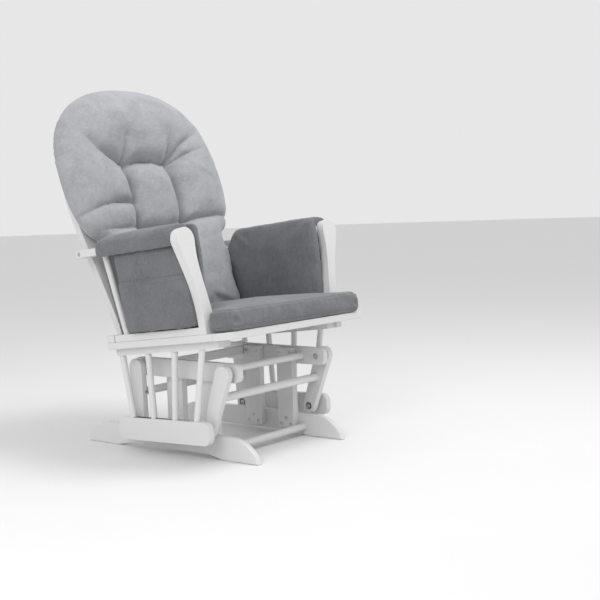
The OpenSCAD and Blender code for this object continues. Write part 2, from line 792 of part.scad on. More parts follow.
module arm_pad(side) {
    t1 = pad_t0 + pad_h;
    color(cloth) on_side(side) in_seat() difference() {
        slab(pad_x0, pad_x1 - pad_x0) polygon([
            [post_rear(pad_t0) + soft_gap, pad_t0],
            [pad_s1, pad_t0],
            [pad_s1, t1 - 12],
            [pad_s1 - 12, t1],
            [post_rear(t1) + soft_gap, t1]
        ]);
        slab(arm_x - soft_gap, arm_board_w + 2 * soft_gap) polygon([
            [post_s, pad_t0 - 1], [pad_s1 + 1, pad_t0 - 1],
            [pad_s1 + 1, arm_top_t + soft_gap], [post_s, arm_top_t + soft_gap]
        ]);
    }
}
module arm_inner_panels() {
    t0 = cushion_t0 + 4;
    t1 = pad_t0 + pad_h;
    s0 = post_s + post_t + 1;
    color(cloth) for (side = [-1, 1]) on_side(side) in_seat()
        slab(inner_x0, inner_panel_t) polygon([
            [s0, t0], [back_s - rear_sill_w - 12, t0], [back_s - 4, arm_t0 - 30],
            [pad_s1, t1 - 16], [pad_s1 - 16, t1], [post_rear(t1) + soft_gap, t1]
        ]);
}
// Places children on the outer cloth panel's plane, X outward from it
module on_outer_panel() {
    x = sill_mid_x + spindle_d / 2 + 5;
    in_seat() translate([x, 0, board_t]) rotate([0, panel_a, 0]) children();
}
panel_rear_s = back_s - 98;
panel_h = (arm_t0 - board_t - soft_gap - outer_panel_t * max(0, -sin(panel_a))) / cos(panel_a);
module arm_outer_panels() {
    s0 = post_rear(panel_h + board_t) + 1;
    color(cloth) for (side = [-1, 1]) on_side(side) on_outer_panel()
        slab(0, outer_panel_t) polygon([
            [post_s + post_t + 1, 1], [panel_rear_s - 8, 1], [panel_rear_s, 14],
            [panel_rear_s + 4, panel_h], [s0, panel_h]
        ]);
}
pocket_h = 140;
module arm_pockets() {
    color(cloth) for (side = [-1, 1]) on_side(side) on_outer_panel()
        slab(outer_panel_t + 0.2, pocket_t) polygon([
            [post_s + post_t + 3, 3], [panel_rear_s - 10, 3], [panel_rear_s - 2, 16],
            [panel_rear_s, pocket_h], [post_rear(pocket_h) + 5, pocket_h]
        ]);
}

// Nodes -----------------------------------------------------------------------

runner(1);  // left_runner
runner(-1);  // right_runner
upright(1, upright_y[0]);  // left_front_upright
upright(1, upright_y[1]);  // left_rear_upright
upright(-1, upright_y[0]);  // right_front_upright
upright(-1, upright_y[1]);  // right_rear_upright
top_rail(1);  // left_top_rail
top_rail(-1);  // right_top_rail
color(paint) base_dowel_at(lower_dowel_z) cross_dowel(runner_x, base_dowel_d);  // base_lower_dowel
color(paint) base_dowel_at(pivot_z) cross_dowel(top_rail_x, base_dowel_d);  // base_upper_dowel
color(paint) crossbar_block(0);  // base_rear_crossbar
upright_screws();
upper_pivot_bolts();
upper_pivot_spacers();
color(paint) in_front_swing() swing_arm(1, 0);  // left_front_swing_arm
color(paint) mirror([1, 0, 0]) in_front_swing() swing_arm(1, 0);  // right_front_swing_arm
in_front_swing() swing_dowel(1);  // front_swing_dowel
in_front_swing() swing_bearings(run_fit);  // front_swing_bearings
in_front_swing() dowel_screws(1);  // front_dowel_screws
color(paint) in_rear_swing() swing_arm(-1, open_play);  // left_rear_swing_arm
color(paint) mirror([1, 0, 0]) in_rear_swing() swing_arm(-1, open_play);  // right_rear_swing_arm
in_rear_swing() swing_dowel(-1);  // rear_swing_dowel
in_rear_swing() swing_bearings(open_play);  // rear_swing_bearings
in_rear_swing() dowel_screws(-1);  // rear_dowel_screws
lower_rail(1);  // left_lower_rail
lower_rail(-1);  // right_lower_rail
side_spindles_on(1);  // left_side_spindles
side_spindles_on(-1);  // right_side_spindles
upper_rail(1);  // left_upper_rail
upper_rail(-1);  // right_upper_rail
lower_pivot_bolts();
lower_pivot_spacers();
seat_front_rail();
seat_rear_rail();
seat_side_rail(1);  // left_seat_rail
seat_side_rail(-1);  // right_seat_rail
seat_cleat(1);  // left_seat_cleat
seat_cleat(-1);  // right_seat_cleat
seat_slats();
arm_sill(1);  // left_arm_sill
arm_sill(-1);  // right_arm_sill
rear_sill();
arm_post(1);  // left_arm_post
arm_post(-1);  // right_arm_post
arm_board(1);  // left_arm_board
arm_board(-1);  // right_arm_board
arm_spindles_on(1);  // left_arm_spindles
arm_spindles_on(-1);  // right_arm_spindles
back_hoop();
back_lower_rail();
back_slat_set();  // back_slats
back_bolts();
seat_cushion();
back_cushion();
arm_pad(1);  // left_arm_pad
arm_pad(-1);  // right_arm_pad
arm_inner_panels();
arm_outer_panels();
arm_pockets();
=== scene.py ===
"""Looks of the glider nursery chair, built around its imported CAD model."""

import json
import math

import bmesh
import bpy
import numpy as np
from mathutils import Matrix, Vector, noise


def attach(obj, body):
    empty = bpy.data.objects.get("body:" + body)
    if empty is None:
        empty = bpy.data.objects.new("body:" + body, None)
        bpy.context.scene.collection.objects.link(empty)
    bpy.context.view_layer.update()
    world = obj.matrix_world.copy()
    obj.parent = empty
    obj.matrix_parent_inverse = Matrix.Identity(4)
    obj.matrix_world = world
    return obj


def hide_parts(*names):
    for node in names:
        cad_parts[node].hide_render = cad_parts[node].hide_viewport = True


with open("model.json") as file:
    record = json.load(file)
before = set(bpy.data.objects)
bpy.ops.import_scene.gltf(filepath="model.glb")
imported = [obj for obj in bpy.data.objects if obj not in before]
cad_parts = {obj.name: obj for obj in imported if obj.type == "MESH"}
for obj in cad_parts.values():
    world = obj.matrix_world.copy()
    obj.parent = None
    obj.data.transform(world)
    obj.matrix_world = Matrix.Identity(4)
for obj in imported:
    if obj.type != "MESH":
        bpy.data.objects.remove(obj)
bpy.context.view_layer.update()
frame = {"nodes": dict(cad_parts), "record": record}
scene = bpy.context.scene
MM = 0.001


# Camera ------------------------------------------------------------------------

CAMERA_AT = (-2.3368, -2.2065, 0.6591)
CAMERA_YAW = -51.33        # from +Y, left is positive, in degrees
CAMERA_PITCH = 4.843       # downward
CAMERA_ROLL = -1.907
CAMERA_LENS = 68.6


def make_camera():
    yaw, pitch, roll = (math.radians(a) for a in (CAMERA_YAW, CAMERA_PITCH, CAMERA_ROLL))
    forward = Vector((
        -math.sin(yaw) * math.cos(pitch), math.cos(yaw) * math.cos(pitch), -math.sin(pitch)))
    right = Vector((math.cos(yaw), math.sin(yaw), 0))
    up = right.cross(forward)
    right, up = (
        right * math.cos(roll) + up * math.sin(roll),
        up * math.cos(roll) - right * math.sin(roll))
    data = bpy.data.cameras.new("camera")
    data.lens = CAMERA_LENS
    camera = bpy.data.objects.new("camera", data)
    scene.collection.objects.link(camera)
    turn = Matrix((right, up, -forward)).transposed().to_4x4()
    camera.matrix_world = Matrix.Translation(CAMERA_AT) @ turn
    scene.camera = camera


make_camera()


# Shader helpers ----------------------------------------------------------------

class Shader:
    """A material's node tree, with short calls to add nodes and links."""

    def __init__(self, name):
        self.material = bpy.data.materials.new(name)
        self.material.use_nodes = True
        self.tree = self.material.node_tree
        self.bsdf = self.tree.nodes["Principled BSDF"]

    def add(self, kind, **values):
        node = self.tree.nodes.new("ShaderNode" + kind)
        for key, value in values.items():
            if key in node.inputs:
                node.inputs[key].default_value = value
            else:
                setattr(node, key, value)
        return node

    def link(self, a, b, out=0, into=0):
        self.tree.links.new(a.outputs[out], b.inputs[into])
        return b

    def noise(self, place, scale, detail=3.0, rough=0.5, distortion=0.0):
        node = self.add("TexNoise", Scale=scale, Detail=detail, Roughness=rough, Distortion=distortion)
        return self.link(place, node, "Object" if "Object" in place.outputs else 0, "Vector")

    def grey(self, source, low, high, a=0.0, b=1.0, out=0):
        node = self.add("MapRange", clamp=True)
        node.inputs["From Min"].default_value = a
        node.inputs["From Max"].default_value = b
        node.inputs["To Min"].default_value = low
        node.inputs["To Max"].default_value = high
        return self.link(source, node, out, "Value")

    def mix(self, factor, a, b, blend="MIX", out=0):
        node = self.add("Mix", data_type="RGBA", blend_type=blend)
        if isinstance(factor, float):
            node.inputs[0].default_value = factor
        else:
            self.tree.links.new(factor.outputs[out], node.inputs[0])
        for value, socket in ((a, 6), (b, 7)):
            if isinstance(value, tuple):
                node.inputs[socket].default_value = value if len(value) == 4 else (*value, 1)
            else:
                self.tree.links.new(value.outputs[2 if value.type == "MIX" else 0], node.inputs[socket])
        return node

    def color(self, node):
        self.tree.links.new(node.outputs[2 if node.type == "MIX" else 0], self.bsdf.inputs["Base Color"])

    def bump(self, height, strength, distance):
        node = self.add("Bump", Strength=strength, Distance=distance)
        self.tree.links.new(height.outputs[0], node.inputs["Height"])
        self.tree.links.new(node.outputs[0], self.bsdf.inputs["Normal"])

    def set(self, **values):
        for key, value in values.items():
            self.bsdf.inputs[key.replace("_", " ")].default_value = value


def paint_material(name, tint, along):
    """Satin white paint on wood; along stretches the faint grain along one axis."""
    s = Shader(name)
    place = s.add("TexCoord")
    grain_map = s.add("Mapping")
    grain_map.inputs["Scale"].default_value = along
    s.link(place, grain_map, "Object", "Vector")
    grain = s.noise(grain_map, 34, 5, 0.6, 0.4)
    orange_peel = s.noise(place, 420, 2, 0.5)
    patches = s.noise(place, 6, 3, 0.55)
    base = s.mix(s.grey(patches, 0, 1, 0.35, 0.65), tint, tuple(c * 0.965 for c in tint))
    lined = s.mix(s.grey(grain, 0, 0.35, 0.52, 0.75), base, tuple(c * 0.9 for c in tint))
    # Painted highlight: the paint is made lighter on convex edges, found from curvature, so crevices stay
    # darker as painted shade.
    curvature_for_highlight = s.add("NewGeometry")
    edge = s.grey(curvature_for_highlight, 0, 1, 0.52, 0.6, out="Pointiness")
    brushed_nap_and_edge_highlight = s.mix(edge, lined, tuple(min(1, c * 1.03) for c in tint))
    s.color(brushed_nap_and_edge_highlight)
    rough = s.grey(patches, 0.33, 0.45, 0.3, 0.7)
    s.link(rough, s.bsdf, 0, "Roughness")
    both = s.add("Math", operation="MULTIPLY_ADD")
    both.inputs[1].default_value = 0.6
    s.link(grain, both)
    s.link(orange_peel, both, 0, 2)
    s.bump(both, 0.18, 0.0004)
    s.set(Coat_Weight=0.18, Coat_Roughness=0.25, Specular_IOR_Level=0.45)
    return s.material


def metal_material(name, tint, rough):
    s = Shader(name)
    place = s.add("TexCoord")
    scratches = s.noise(place, 900, 4, 0.7)
    s.color(s.mix(s.grey(scratches, 0, 0.5, 0.4, 0.7), tint, tuple(c * 0.7 for c in tint)))
    s.link(s.grey(scratches, rough - 0.08, rough + 0.12), s.bsdf, 0, "Roughness")
    s.bump(scratches, 0.15, 0.0002)
    s.set(Metallic=1.0)
    return s.material


WHITE = (0.67, 0.67, 0.668)
paint_x = paint_material("white_paint_across", WHITE, (0.25, 4, 4))
paint_y = paint_material("white_paint_lengthwise", WHITE, (4, 0.25, 4))
paint_z = paint_material("white_paint_upright", WHITE, (4, 4, 0.25))
zinc = metal_material("zinc_steel", (0.6, 0.6, 0.61), 0.32)
dark_zinc = metal_material("bearing_steel", (0.32, 0.32, 0.33), 0.4)


# Wood --------------------------------------------------------------------------

def set_material(obj, material):
    obj.data.materials.clear()
    obj.data.materials.append(material)


def link_piece(name, mesh):
    obj = bpy.data.objects.new(name, mesh)
    scene.collection.objects.link(obj)
    return obj


def applied(obj, kind, **values):
    """Adds a modifier and keeps its result as the object's mesh."""
    modifier = obj.modifiers.new(kind.lower(), kind)
    for key, value in values.items():
        setattr(modifier, key, value)
    result = bpy.data.meshes.new_from_object(obj.evaluated_get(bpy.context.evaluated_depsgraph_get()))
    obj.modifiers.clear()
    old, obj.data = obj.data, result
    result.name = obj.name
    bpy.data.meshes.remove(old)


SHORTEST_EASED = 1.7 * MM      # edges of round bores are shorter, and stay sharp
SHARP_CORNER = math.radians(38)


def eased(node, width, material, body):
    """A copy of a CAD board whose long sharp edges are rounded over, as a router leaves them."""
    bm = bmesh.new()
    bm.from_mesh(frame["nodes"][node].data)
    bmesh.ops.remove_doubles(bm, verts=bm.verts, dist=2e-5)
    bmesh.ops.dissolve_limit(
        bm, angle_limit=math.radians(0.4), verts=bm.verts[:], edges=bm.edges[:])
    bm.normal_update()
    sharp = [
        e for e in bm.edges
        if len(e.link_faces) == 2 and e.is_convex and e.calc_length() > SHORTEST_EASED
        and e.calc_face_angle() > SHARP_CORNER]
    bmesh.ops.bevel(
        bm, geom=sharp, offset=width, offset_type="OFFSET", segments=2, profile=0.5,
        affect="EDGES", clamp_overlap=True)
    mesh = bpy.data.meshes.new(node + "_wood")
    bm.to_mesh(mesh)
    bm.free()
    for polygon in mesh.polygons:
        polygon.use_smooth = True
    mesh.set_sharp_from_angle(angle=math.radians(32))
    obj = link_piece(node + "_wood", mesh)
    applied(obj, "WEIGHTED_NORMAL", keep_sharp=True)
    set_material(obj, material)
    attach(obj, body)
    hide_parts(node)
    return obj


body_of = {n: b for b, nodes in frame["record"]["behaviour"]["bodies"].items() for n in nodes}
BOARDS = {
    paint_x: ("seat_front_rail", "seat_rear_rail", "rear_sill", "back_lower_rail",
              "base_rear_crossbar", "seat_slats"),
    paint_y: ("left_runner", "right_runner", "left_top_rail", "right_top_rail",
              "left_lower_rail", "right_lower_rail", "left_upper_rail", "right_upper_rail",
              "left_seat_rail", "right_seat_rail", "left_seat_cleat", "right_seat_cleat",
              "left_arm_sill", "right_arm_sill", "left_arm_board", "right_arm_board"),
    paint_z: ("left_front_upright", "left_rear_upright", "right_front_upright",
              "right_rear_upright", "left_front_swing_arm", "right_front_swing_arm",
              "left_rear_swing_arm", "right_rear_swing_arm", "left_arm_post",
              "right_arm_post", "back_hoop", "back_slats"),
}
DEEP_EASE = {"left_runner": 3.2, "right_runner": 3.2, "left_arm_post": 4.5, "right_arm_post": 4.5,
             "back_hoop": 4, "left_front_swing_arm": 3, "right_front_swing_arm": 3,
             "left_rear_swing_arm": 3, "right_rear_swing_arm": 3, "left_lower_rail": 3,
             "right_lower_rail": 3, "left_top_rail": 3, "right_top_rail": 3}
for material, nodes in BOARDS.items():
    for node in nodes:
        eased(node, DEEP_EASE.get(node, 1.6) * MM, material, body_of[node])
for node in ("base_lower_dowel", "base_upper_dowel", "front_swing_dowel", "rear_swing_dowel"):
    set_material(frame["nodes"][node], paint_x)
for node in ("left_side_spindles", "right_side_spindles", "left_arm_spindles", "right_arm_spindles"):
    set_material(frame["nodes"][node], paint_z)
for node in ("upright_screws", "upper_pivot_bolts", "upper_pivot_spacers", "front_dowel_screws",
             "rear_dowel_screws", "lower_pivot_bolts", "lower_pivot_spacers", "back_bolts"):
    set_material(frame["nodes"][node], zinc)
for node in ("front_swing_bearings", "rear_swing_bearings"):
    set_material(frame["nodes"][node], dark_zinc)


# Cloth -------------------------------------------------------------------------

def suede_material(name, dark, light):
    """Short-napped microfibre: brushed patches, fine mottling, fibre fuzz and a soft sheen."""
    s = Shader(name)
    place = s.add("TexCoord")
    patches = s.noise(place, 11, 4, 0.6, 0.8)
    mottle = s.noise(place, 150, 4, 0.65, 0.3)
    fibre = s.noise(place, 1500, 2, 0.6)
    brushed_map = s.add("Mapping")
    brushed_map.inputs["Scale"].default_value = (1, 3.2, 1.1)
    brushed_map.inputs["Rotation"].default_value = (0.5, 0.2, 0.4)
    s.link(place, brushed_map, "Object", "Vector")
    brushed = s.noise(brushed_map, 60, 5, 0.7, 0.6)
    mid = tuple((a + b) / 2 for a, b in zip(dark, light))
    shaded, lit = (tuple(m * k for m in mid) for k in (0.87, 1.14))
    base = s.mix(s.grey(patches, 0, 1, 0.32, 0.68), shaded, lit)
    flecked = s.mix(s.grey(mottle, 0, 0.6, 0.5, 0.72), base, light)
    brushed_nap_and_edge_highlight = s.mix(s.grey(brushed, 0, 0.5, 0.52, 0.74), flecked, dark)
    s.color(s.mix(s.grey(fibre, 0, 0.35, 0.45, 0.75), brushed_nap_and_edge_highlight, dark))
    height = s.add("Math", operation="MULTIPLY_ADD")
    height.inputs[1].default_value = 0.8
    s.link(mottle, height)
    s.link(fibre, height, 0, 2)
    s.bump(height, 0.35, 0.0006)
    s.set(Roughness=0.92, Specular_IOR_Level=0.2, Sheen_Weight=0.3, Sheen_Roughness=0.45,
          Sheen_Tint=(0.9, 0.92, 1, 1))
    return s.material


# Two copies of one grey suede: the back's is lighter and the seat's darker, partly a real difference of
# fabric and partly painted light and shade for the nap's direction.
back_suede_lighter_and_lit = suede_material("grey_suede_back_lighter_and_painted_lit", (0.235, 0.239, 0.252), (0.46, 0.464, 0.488))
seat_suede_darker_and_shaded = suede_material("grey_suede_seat_darker_and_painted_shaded", (0.108, 0.11, 0.117), (0.224, 0.227, 0.238))


class Plane:
    """A local frame: u and v in the piece's own plane, h out of it; lengths in metres."""

    def __init__(self, u, v, h, origin=(0, 0, 0)):
        self.axes = np.array((u, v, h), float)
        self.origin = np.array(origin, float)

    def local(self, points):
        return (np.asarray(points) - self.origin) @ self.axes.T

    def world(self, points):
        return np.asarray(points) @ self.axes + self.origin


def node_points(node, side=0):
    """The distinct corner points of a CAD node, on one side of the middle or on both."""
    co = np.array([v.co for v in frame["nodes"][node].data.vertices], float)
    if side:
        co = co[co[:, 0] * side > 0]
    return np.unique(co.round(5), axis=0)


def flat_normal(node, side=0, toward=(0, 0, 1)):
    """The normal of a CAD node's largest flat faces, turned the way asked for."""
    mesh = frame["nodes"][node].data
    sums = {}
    for p in mesh.polygons:
        if side and p.center.x * side < 0:
            continue
        n = p.normal if p.normal.dot(Vector(toward)) > 0 else -p.normal
        key = tuple(round(c, 2) for c in n)
        total, area = sums.get(key, (Vector(), 0))
        sums[key] = (total + n * p.area, area + p.area)
    return max(sums.values(), key=lambda x: x[1])[0].normalized()


X = Vector((1, 0, 0))
seat_up = flat_normal("seat_front_rail", toward=(0, 0, 1))
seat_rear = seat_up.cross(X).normalized()
back_out = flat_normal("back_cushion", toward=(0, -1, 0))
back_up = X.cross(-back_out).normalized()


def outline_of(points):
    """The convex outline of 2-D points, anticlockwise."""
    pts = sorted(map(tuple, np.round(points, 6)))

    def half(order):
        chain = []
        for p in order:
            while len(chain) > 1 and (
                    (chain[-1][0] - chain[-2][0]) * (p[1] - chain[-2][1])
                    - (chain[-1][1] - chain[-2][1]) * (p[0] - chain[-2][0])) <= 1e-9:
                chain.pop()
            chain.append(p)
        return chain[:-1]
    return np.array(half(pts) + half(pts[::-1]))


def resampled(points, step):
    """A closed outline with points about a step apart."""
    p = np.vstack((points, points[:1]))
    lengths = np.linalg.norm(np.diff(p, axis=0), axis=1)
    s = np.concatenate(([0], np.cumsum(lengths)))
    at = np.linspace(0, s[-1], max(12, int(s[-1] / step)), endpoint=False)
    return np.column_stack((np.interp(at, s, p[:, 0]), np.interp(at, s, p[:, 1])))


def rounded(points, radius, step=4 * MM):
    """A closed outline with its corners rounded."""
    out, n = [], len(points)
    for i in range(n):
        a, b, c = points[i - 1], points[i], points[(i + 1) % n]
        ab, cb = a - b, c - b
        la, lc = np.linalg.norm(ab), np.linalg.norm(cb)
        r = min(radius, la * 0.45, lc * 0.45)
        p, q = b + ab / la * r, b + cb / lc * r
        for k in range(9):
            t = k / 8
            out.append((1 - t) ** 2 * p + 2 * t * (1 - t) * b + t * t * q)
    return resampled(np.array(out), step)


def distance(points, line, closed=True):
    """How far each 2-D point is from a line of points, and how far along it the nearest place is."""
    a = line if closed else line[:-1]
    b = np.roll(line, -1, axis=0) if closed else line[1:]
    ab = b - a
    length = np.maximum(np.linalg.norm(ab, axis=1), 1e-9)
    start = np.concatenate(([0], np.cumsum(length)[:-1]))
    best = np.full(len(points), 1e9)
    along = np.zeros(len(points))
    for k in range(len(a)):
        t = np.clip(((points - a[k]) @ ab[k]) / length[k] ** 2, 0, 1)
        d = np.linalg.norm(points - a[k] - t[:, None] * ab[k], axis=1)
        near = d < best
        best[near] = d[near]
        along[near] = (start[k] + t * length[k])[near]
    return best, along / (start[-1] + length[-1])


def quarter(d, radius):
    """0 at an edge and 1 beyond a radius from it, along a quarter of a circle."""
    return np.sqrt(1 - (1 - np.clip(d / radius, 0, 1)) ** 2)


def pillow(name, plane, outline, centre, top, bottom, rings=44):
    """A closed mesh over an outline. top and bottom give the heights of its two faces."""
    steps = 1 - (1 - np.arange(1, rings + 1) / rings) ** 1.8
    centre = np.asarray(centre, float)
    flat = np.concatenate([centre + (outline - centre) * r for r in steps] + [centre[None]])
    d, _ = distance(flat, outline)
    d[(rings - 1) * len(outline):rings * len(outline)] = 0
    upper = np.column_stack((flat, top(flat, d)))
    lower = np.column_stack((flat, bottom(flat, d)))
    n, m = len(outline), len(flat)
    points = np.concatenate((upper, lower))
    faces = []
    for side, flip in ((0, False), (m, True)):
        for k in range(rings - 1):
            for j in range(n):
                quad = [side + k * n + j, side + k * n + (j + 1) % n,
                        side + (k + 1) * n + (j + 1) % n, side + (k + 1) * n + j]
                faces.append(quad if flip else quad[::-1])
        for j in range(n):
            tri = [side + m - 1, side + j, side + (j + 1) % n]
            faces.append(tri[::-1] if flip else tri)
    edge = (rings - 1) * n
    for j in range(n):
        k = (j + 1) % n
        faces.append([edge + j, edge + k, m + edge + k, m + edge + j])
    return make_mesh(name, plane.world(points), faces)


def make_mesh(name, points, faces):
    mesh = bpy.data.meshes.new(name)
    mesh.from_pydata([tuple(p) for p in points], [], faces)
    bm = bmesh.new()
    bm.from_mesh(mesh)
    bmesh.ops.remove_doubles(bm, verts=bm.verts, dist=2e-5)
    bmesh.ops.recalc_face_normals(bm, faces=bm.faces)
    bm.to_mesh(mesh)
    bm.free()
    return link_piece(name, mesh)


def coords(obj):
    co = np.zeros(len(obj.data.vertices) * 3)
    obj.data.vertices.foreach_get("co", co)
    return co.reshape(-1, 3)


def normals(obj):
    co = np.zeros(len(obj.data.vertices) * 3)
    obj.data.vertices.foreach_get("normal", co)
    return co.reshape(-1, 3)


def set_coords(obj, co):
    obj.data.vertices.foreach_set("co", np.asarray(co).ravel())
    obj.data.update()


CLOTH_FRAMES = 20


def inflate(obj, held, cap, pressure=4.0, stiffness=12.0):
    """Swells a pad as cloth under pressure.

    held is each point's grip, from 0 to 1, and cap limits how far a point moves.
    """
    rest = coords(obj)
    group = obj.vertex_groups.new(name="held")
    for level in (0.25, 0.5, 0.75, 1.0):
        chosen = np.nonzero((held > level - 0.125) & (held <= level + 0.125))[0]
        if len(chosen):
            group.add([int(i) for i in chosen], level, "REPLACE")
    modifier = obj.modifiers.new("cloth", "CLOTH")
    cloth = modifier.settings
    cloth.quality = 6
    cloth.mass = 0.3
    cloth.tension_stiffness = cloth.compression_stiffness = stiffness
    cloth.shear_stiffness = stiffness * 0.6
    cloth.bending_stiffness = 0.4
    cloth.use_pressure = True
    cloth.uniform_pressure_force = pressure
    cloth.vertex_group_mass = "held"
    cloth.effector_weights.gravity = 0
    modifier.point_cache.frame_start, modifier.point_cache.frame_end = 1, CLOTH_FRAMES
    for number in range(1, CLOTH_FRAMES + 1):
        scene.frame_set(number)
    result = obj.evaluated_get(bpy.context.evaluated_depsgraph_get()).to_mesh()
    moved = np.zeros(len(result.vertices) * 3)
    result.vertices.foreach_get("co", moved)
    obj.modifiers.clear()
    obj.vertex_groups.clear()
    scene.frame_set(1)
    step = moved.reshape(-1, 3) - rest
    size = np.linalg.norm(step, axis=1, keepdims=True)
    step *= cap * np.tanh(size / cap) / np.maximum(size, 1e-9)
    set_coords(obj, rest + step)


def soften(obj, passes, factor=0.5):
    """Evens out a mesh's small bumps."""
    bm = bmesh.new()
    bm.from_mesh(obj.data)
    for _ in range(passes):
        bmesh.ops.smooth_vert(
            bm, verts=bm.verts, factor=factor, use_axis_x=True, use_axis_y=True, use_axis_z=True)
    bm.to_mesh(obj.data)
    bm.free()
    obj.data.update()


def ripple(points, scale, seed):
    """Smooth noise at each point, about -1 to 1."""
    return np.array([noise.noise(Vector(p) * scale + Vector((seed, 0, 0))) for p in points])


def finish_pad(obj, material, nodes):
    for polygon in obj.data.polygons:
        polygon.use_smooth = True
    set_material(obj, material)
    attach(obj, "seat")
    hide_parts(*nodes)


# Back cushion ------------------------------------------------------------------

def back_cushion():
    points = node_points("back_cushion")
    plane = Plane(X, back_up, back_out)
    local = plane.local(points)
    plane.origin = plane.world([[0, local[:, 1].min(), local[:, 2].min()]])[0]
    local = plane.local(points)
    thick = local[:, 2].max()
    front = local[local[:, 2] > thick / 2]
    right = front[front[:, 0] > -1e-6]
    right = right[np.argsort(np.arctan2(right[:, 1] - 0.35, right[:, 0]))][:, :2]
    half = [p for p in right if p[0] > 1e-4] + [(0, right[:, 1].max())]
    outline = np.array(half + [(-p[0], p[1]) for p in half[-2::-1]])
    outline = rounded(outline, 45 * MM, 4 * MM)
    between_arms, above_arms = (1.03, 1), (1.005, 1.02)      # growth of the outline
    outline *= np.where(outline[:, 1:] < 200 * MM, between_arms, above_arms)
    base = 31 * MM      # height of the CAD cushion's foot above the back plane's foot

    def rim(flat):
        """Height of the pillow's edge over its flat rear: it lies close to the hoop at the top."""
        return np.interp(flat[:, 1], (200 * MM, 330 * MM, 540 * MM), (34 * MM, 20 * MM, -6 * MM))

    def at(*pairs):
        return np.array(pairs, float) * MM - np.array((0, base))
    buttons = at((-86, 492), (86, 492), (-90, 308), (86, 316))
    creases = [      # line, depth at its start and end, width
        (at((-86, 492), (-80, 440), (-84, 380), (-90, 308)), 0.56, 0.5, 25),
        (at((86, 492), (92, 440), (93, 385), (86, 316)), 0.56, 0.56, 25),
        (at((-86, 492), (-30, 504), (30, 506), (86, 492)), 0.5, 0.5, 22),
        (at((-86, 492), (-78, 540), (-64, 600)), 0.45, 0.02, 24),
        (at((86, 492), (98, 545), (110, 612)), 0.48, 0.02, 24),
        (at((-86, 492), (-180, 535), (-238, 580)), 0.5, 0.04, 24),
        (at((86, 492), (140, 550), (205, 584)), 0.5, 0.03, 17),
        (at((86, 492), (150, 520), (222, 540)), 0.45, 0.03, 17),
        (at((-84, 380), (-172, 378), (-231, 366), (-292, 346)), 0.42, 0.14, 15),
        (at((86, 316), (143, 325), (235, 330), (296, 326)), 0.52, 0.2, 17),
        (at((-90, 308), (0, 298), (86, 316)), 0.5, 0.5, 20),
        (at((-90, 308), (-170, 300), (-250, 300)), 0.4, 0.05, 18),
        (at((86, 316), (92, 250), (96, 180)), 0.35, 0.02, 24),
        (at((-90, 308), (-96, 250), (-98, 180)), 0.35, 0.02, 24),
    ]

    def valleys(flat, sharp=1.0, reach=1.0):
        total = np.zeros(len(flat))
        for line, start, end, width in creases:
            d, along = distance(flat, line, closed=False)
            depth = start + (end - start) * along
            total += (1.3 * depth * np.exp(-d / (width * MM * reach)) * sharp) ** 3
        for b in buttons:
            r = np.linalg.norm(flat - b, axis=1)
            total += (0.85 * np.exp(-((r / (24 * MM * reach)) ** 1.1))) ** 3
        return np.minimum(total ** (1 / 3), 0.86)

    def top(flat, d):
        crown = 1 - 0.1 * np.abs(flat[:, 0] / 0.3) ** 2
        edge = rim(flat)
        radius = np.interp(flat[:, 1], (180 * MM, 330 * MM), (18 * MM, 84 * MM))
        return edge + (thick - 10 * MM - edge) * quarter(d, radius) * crown * (1 - valleys(flat))

    def bottom(flat, d):
        return rim(flat) * (1 - quarter(d, np.where(rim(flat) < 0, 14 * MM, 36 * MM)))
    obj = pillow("back_cushion_soft", plane, outline, (0, 0.36), top, bottom, 60)
    applied(obj, "REMESH", mode="VOXEL", voxel_size=5 * MM)
    soften(obj, 6)
    p = plane.local(coords(obj))
    deep = valleys(p[:, :2])
    start = np.clip(rim(p) - 4 * MM, 2 * MM, 20 * MM)
    rear = np.clip(1 - (p[:, 2] - start) / (14 * MM), 0, 1)
    inflate(obj, np.maximum(rear, np.clip((deep - 0.3) * 4, 0, 1)), 10 * MM)
    soften(obj, 4)
    applied(obj, "SUBSURF", levels=1)
    p = plane.local(coords(obj))
    n = normals(obj) @ plane.axes.T
    facing = np.clip(n[:, 2] * 2, 0, 1)
    d, _ = distance(p[:, :2], outline)
    sink = 14 * MM * valleys(p[:, :2], 1.15, 0.35) / 0.6
    pulls = np.zeros(len(p))
    for k, b in enumerate(buttons):
        v = p[:, :2] - b
        r = np.linalg.norm(v, axis=1)
        a = np.arctan2(v[:, 1], v[:, 0])
        ring = np.exp(-((r - 30 * MM) / (24 * MM)) ** 2)
        pulls += ring * np.sin(9 * a + k) * (0.6 + 0.4 * np.sin(4 * a + 2 * k))
    world = plane.world(p)
    slack = ripple(world * (1, 1, 2.2), 16, 3) * 1.6 + ripple(world * (2.2, 1, 1), 42, 9) * 0.5
    h = (-sink + 0.9 * MM * pulls + slack * MM) * facing
    seam = np.exp(-((p[:, 2] - rim(p) - 4 * MM) / (1.8 * MM)) ** 2) * (d < 14 * MM)
    seam *= np.clip(rim(p) / (20 * MM), 0, 1)
    shift = np.zeros_like(p)
    shift[:, 2] = h
    shift -= n * (seam * 1.8 * MM)[:, None]
    set_coords(obj, plane.world(p + shift))
    soften(obj, 1)
    finish_pad(obj, back_suede_lighter_and_lit, ["back_cushion"])
    heights = p + shift
    for k, b in enumerate(buttons):
        near = np.argmin(np.linalg.norm(heights[:, :2] - b, axis=1) + (heights[:, 2] < 12 * MM))
        make_button(f"back_button_{k + 1}", plane, (*b, heights[near, 2] + 1 * MM))


